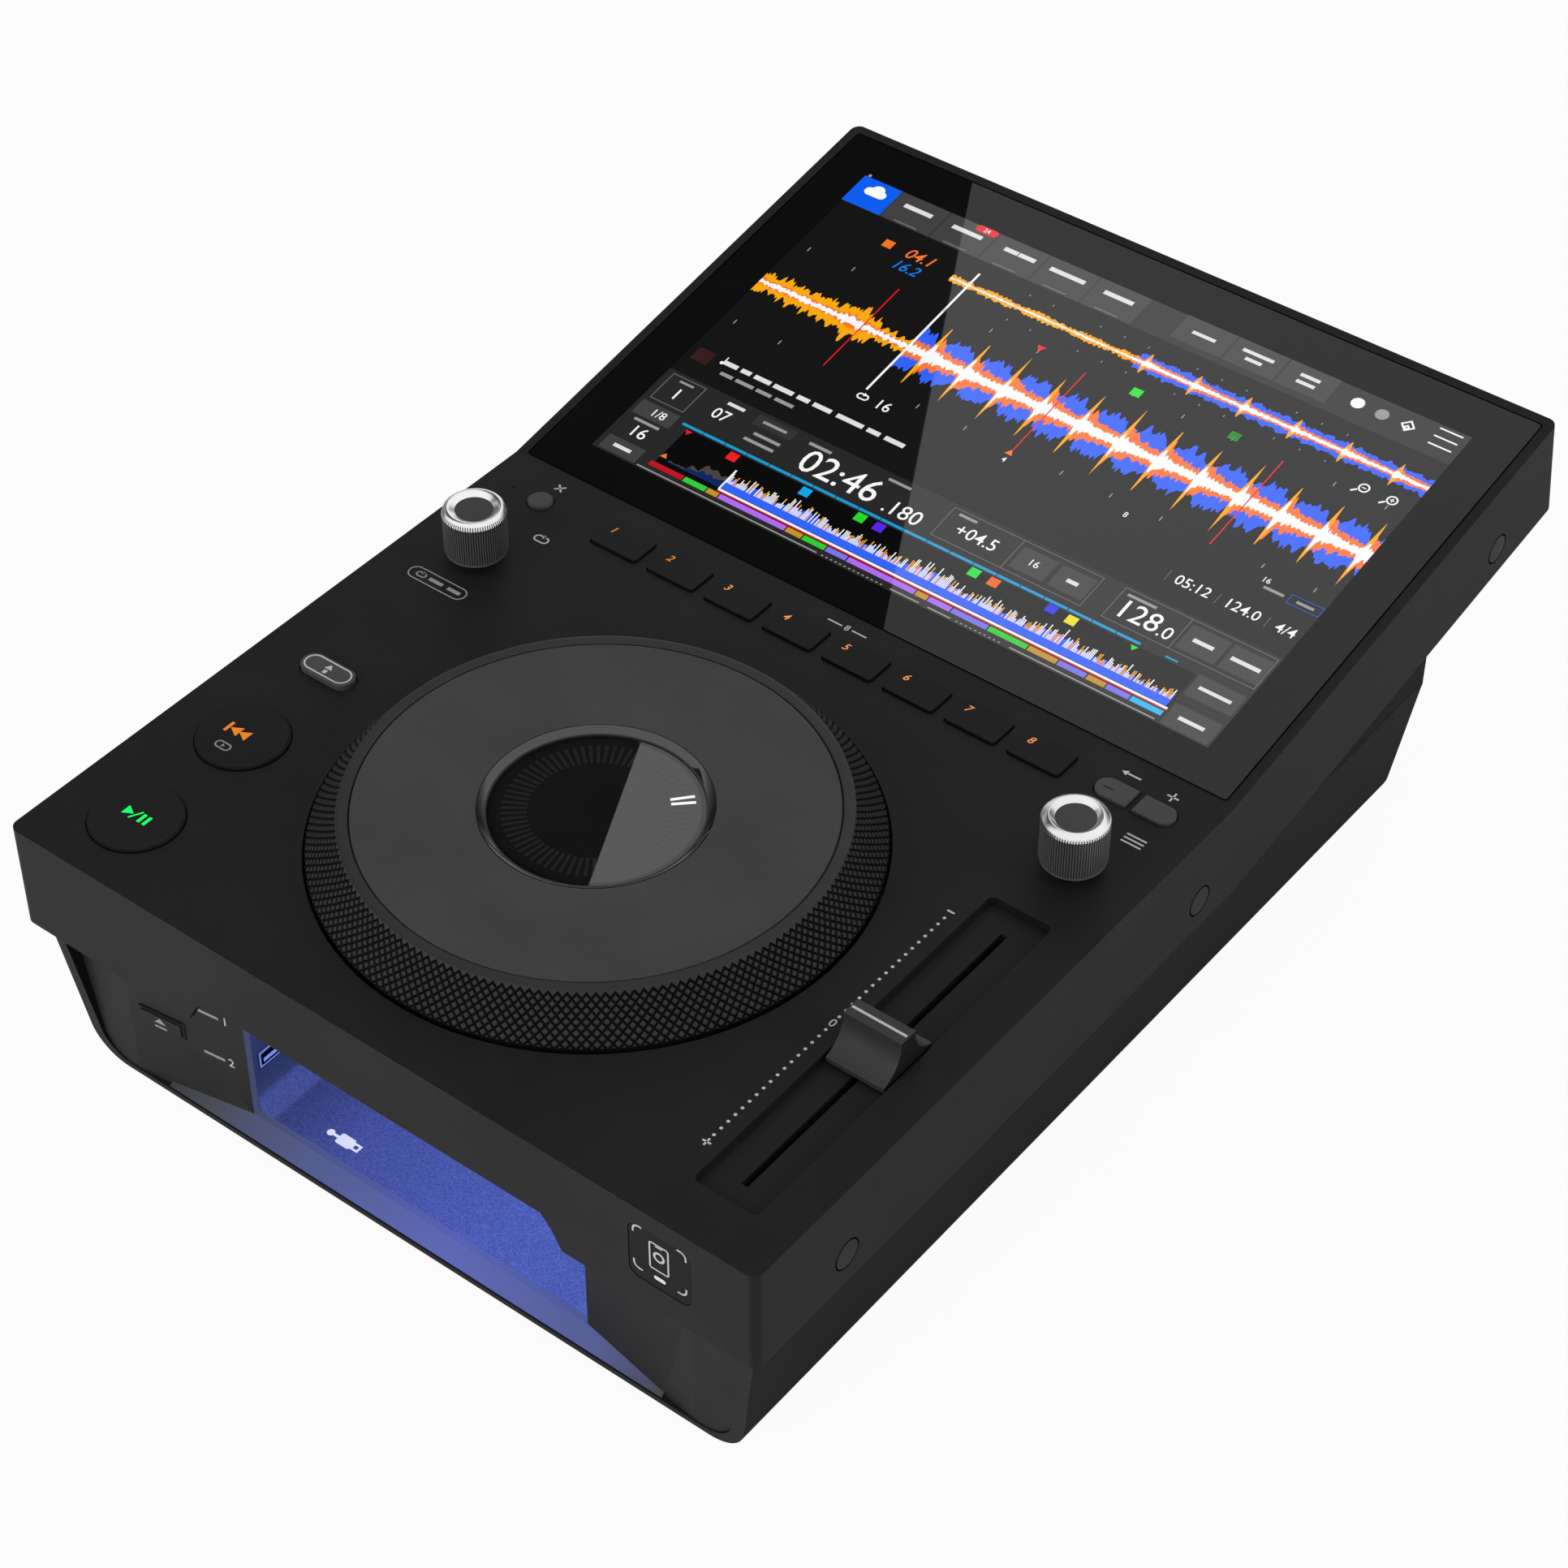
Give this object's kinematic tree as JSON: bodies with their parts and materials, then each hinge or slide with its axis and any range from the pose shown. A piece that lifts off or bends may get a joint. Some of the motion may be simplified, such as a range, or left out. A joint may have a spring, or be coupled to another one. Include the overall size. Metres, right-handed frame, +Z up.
{
  "type": "tabletop dj media player",
  "caption": "Tabletop DJ media player with a jog wheel on a flat deck, a tilted touch screen behind it, performance pads, a tempo fader and a lit bay for memory sticks.",
  "frame": {"origin": "centre of the footprint's bounding box, on the surface that the feet stand on", "axes": "+X to the operator's right, +Y from the front edge to the screen's back edge, +Z up"},
  "size_m": [0.25, 0.3738, 0.1167],
  "materials": {
    "deck": "fine matte texture, near black",
    "base": "fine matte texture, near black",
    "fascia": "fine matte texture, dark grey",
    "light_plastic": "translucent white plastic lit from behind in blue",
    "board": "solder resist over glass-fibre board",
    "steel": "plain bright sheet steel",
    "key": "satin dark plastic",
    "rubber_key": "moulded silicone rubber, matte",
    "lens": "polished dark window plastic",
    "glass": "polished black-backed cover glass",
    "panel": "display cell",
    "jog_plastic": "satin plastic, dark grey",
    "jog_top": "soft satin finish, dark grey",
    "bush": "acetal, natural",
    "knob": "turned, knurled and polished aluminium",
    "foot": "moulded rubber"
  },
  "bodies": {
    "case": {"upper_case": "deck", "lower_case": "base", "front_fascia": "fascia", "bay_liner": "light_plastic", "usb_sockets": "steel", "front_boards": "board", "bay_light_board": "board", "touch_panel": "lens", "screen_glass": "glass", "display_panel": "panel", "display_frame": "steel", "jog_sensor": "jog_plastic", "jog_mount": "steel", "jog_display_cup": "jog_plastic", "jog_display": "panel", "jog_lens": "lens", "encoders": "steel", "fader_unit": "key", "fader_tray": "deck", "main_board": "board", "control_boards": "board", "tact_switches": "key", "power_supply": "board", "jack_panel": "base", "rear_sockets": "key", "mains_inlet": "key", "feet": "foot", "side_plugs": "base", "case_screws": "steel"},
    "jog_wheel": {"jog_ring": "jog_plastic", "jog_hub": "jog_plastic", "jog_bush": "bush", "jog_encoder_wheel": "jog_plastic"},
    "jog_top": {"jog_plate": "jog_top"},
    "play": {"play_button": "key"},
    "cue": {"cue_button": "key"},
    "shift": {"shift_button": "key"},
    "delete": {"delete_button": "key"},
    "back": {"back_button": "key"},
    "tag": {"tag_button": "key"},
    "loop_press": {"loop_plunger": "bush"},
    "loop_turn": {"loop_knob": "knob", "loop_knob_cap": "key", "loop_shaft": "steel"},
    "browse_press": {"browse_plunger": "bush"},
    "browse_turn": {"browse_knob": "knob", "browse_knob_cap": "key", "browse_shaft": "steel"},
    "fader": {"fader_cap": "key", "fader_lever": "steel"},
    "eject": {"eject_button": "key"},
    "power": {"power_button": "key"},
    "pad_1_key": {"pad_1": "rubber_key"},
    "pad_2_key": {"pad_2": "rubber_key"},
    "pad_3_key": {"pad_3": "rubber_key"},
    "pad_4_key": {"pad_4": "rubber_key"},
    "pad_5_key": {"pad_5": "rubber_key"},
    "pad_6_key": {"pad_6": "rubber_key"},
    "pad_7_key": {"pad_7": "rubber_key"},
    "pad_8_key": {"pad_8": "rubber_key"}
  },
  "joints": [
    {"name": "jog_spin", "type": "hinge", "parent": "case", "child": "jog_wheel", "pos_m": [0, -0.09528, 0.0877], "axis": [0, 0, 1], "continuous": true},
    {"name": "jog_top_press", "type": "slide", "parent": "jog_wheel", "child": "jog_top", "axis": [0, 0, 1], "range_m": [-0.0004, 0], "stiffness_N_per_m": 5000, "springref_m": 0.0003},
    {"name": "play_press", "type": "slide", "parent": "case", "child": "play", "axis": [0, 0, 1], "range_m": [-0.001, 0], "stiffness_N_per_m": 1500, "springref_m": 0.0004},
    {"name": "cue_press", "type": "slide", "parent": "case", "child": "cue", "axis": [0, 0, 1], "range_m": [-0.001, 0], "stiffness_N_per_m": 1500, "springref_m": 0.0004},
    {"name": "shift_press", "type": "slide", "parent": "case", "child": "shift", "axis": [0, 0, 1], "range_m": [-0.0006, 0], "stiffness_N_per_m": 2500, "springref_m": 0.0002},
    {"name": "delete_press", "type": "slide", "parent": "case", "child": "delete", "axis": [0, 0, 1], "range_m": [-0.0006, 0], "stiffness_N_per_m": 2500, "springref_m": 0.0002},
    {"name": "back_press", "type": "slide", "parent": "case", "child": "back", "axis": [0, 0, 1], "range_m": [-0.0006, 0], "stiffness_N_per_m": 2500, "springref_m": 0.0002},
    {"name": "tag_press", "type": "slide", "parent": "case", "child": "tag", "axis": [0, 0, 1], "range_m": [-0.0006, 0], "stiffness_N_per_m": 2500, "springref_m": 0.0002},
    {"name": "pad_1_press", "type": "slide", "parent": "case", "child": "pad_1_key", "axis": [0, 0, 1], "range_m": [-0.0006, 0], "stiffness_N_per_m": 2500, "springref_m": 0.0002},
    {"name": "pad_2_press", "type": "slide", "parent": "case", "child": "pad_2_key", "axis": [0, 0, 1], "range_m": [-0.0006, 0], "stiffness_N_per_m": 2500, "springref_m": 0.0002},
    {"name": "pad_3_press", "type": "slide", "parent": "case", "child": "pad_3_key", "axis": [0, 0, 1], "range_m": [-0.0006, 0], "stiffness_N_per_m": 2500, "springref_m": 0.0002},
    {"name": "pad_4_press", "type": "slide", "parent": "case", "child": "pad_4_key", "axis": [0, 0, 1], "range_m": [-0.0006, 0], "stiffness_N_per_m": 2500, "springref_m": 0.0002},
    {"name": "pad_5_press", "type": "slide", "parent": "case", "child": "pad_5_key", "axis": [0, 0, 1], "range_m": [-0.0006, 0], "stiffness_N_per_m": 2500, "springref_m": 0.0002},
    {"name": "pad_6_press", "type": "slide", "parent": "case", "child": "pad_6_key", "axis": [0, 0, 1], "range_m": [-0.0006, 0], "stiffness_N_per_m": 2500, "springref_m": 0.0002},
    {"name": "pad_7_press", "type": "slide", "parent": "case", "child": "pad_7_key", "axis": [0, 0, 1], "range_m": [-0.0006, 0], "stiffness_N_per_m": 2500, "springref_m": 0.0002},
    {"name": "pad_8_press", "type": "slide", "parent": "case", "child": "pad_8_key", "axis": [0, 0, 1], "range_m": [-0.0006, 0], "stiffness_N_per_m": 2500, "springref_m": 0.0002},
    {"name": "loop_knob_press", "type": "slide", "parent": "case", "child": "loop_press", "axis": [0, 0, 1], "range_m": [-0.0005, 0], "stiffness_N_per_m": 6000, "springref_m": 0.0002},
    {"name": "loop_knob_turn", "type": "hinge", "parent": "loop_press", "child": "loop_turn", "pos_m": [-0.102, -0.02708, 0.0877], "axis": [0, 0, 1], "continuous": true},
    {"name": "browse_knob_press", "type": "slide", "parent": "case", "child": "browse_press", "axis": [0, 0, 1], "range_m": [-0.0005, 0], "stiffness_N_per_m": 6000, "springref_m": 0.0002},
    {"name": "browse_knob_turn", "type": "hinge", "parent": "browse_press", "child": "browse_turn", "pos_m": [0.1036, -0.02708, 0.0877], "axis": [0, 0, 1], "continuous": true},
    {"name": "fader_slide", "type": "slide", "parent": "case", "child": "fader", "axis": [0, 1, 0], "range_m": [-0.05, 0.05]},
    {"name": "eject_press", "type": "slide", "parent": "case", "child": "eject", "axis": [0.1222, -0.9925, 0], "range_m": [-0.001, 0], "stiffness_N_per_m": 1500, "springref_m": 0.0004},
    {"name": "power_press", "type": "slide", "parent": "case", "child": "power", "axis": [0, 1, 0], "range_m": [-0.0025, 0], "stiffness_N_per_m": 900, "springref_m": 0.0006}
  ]
}
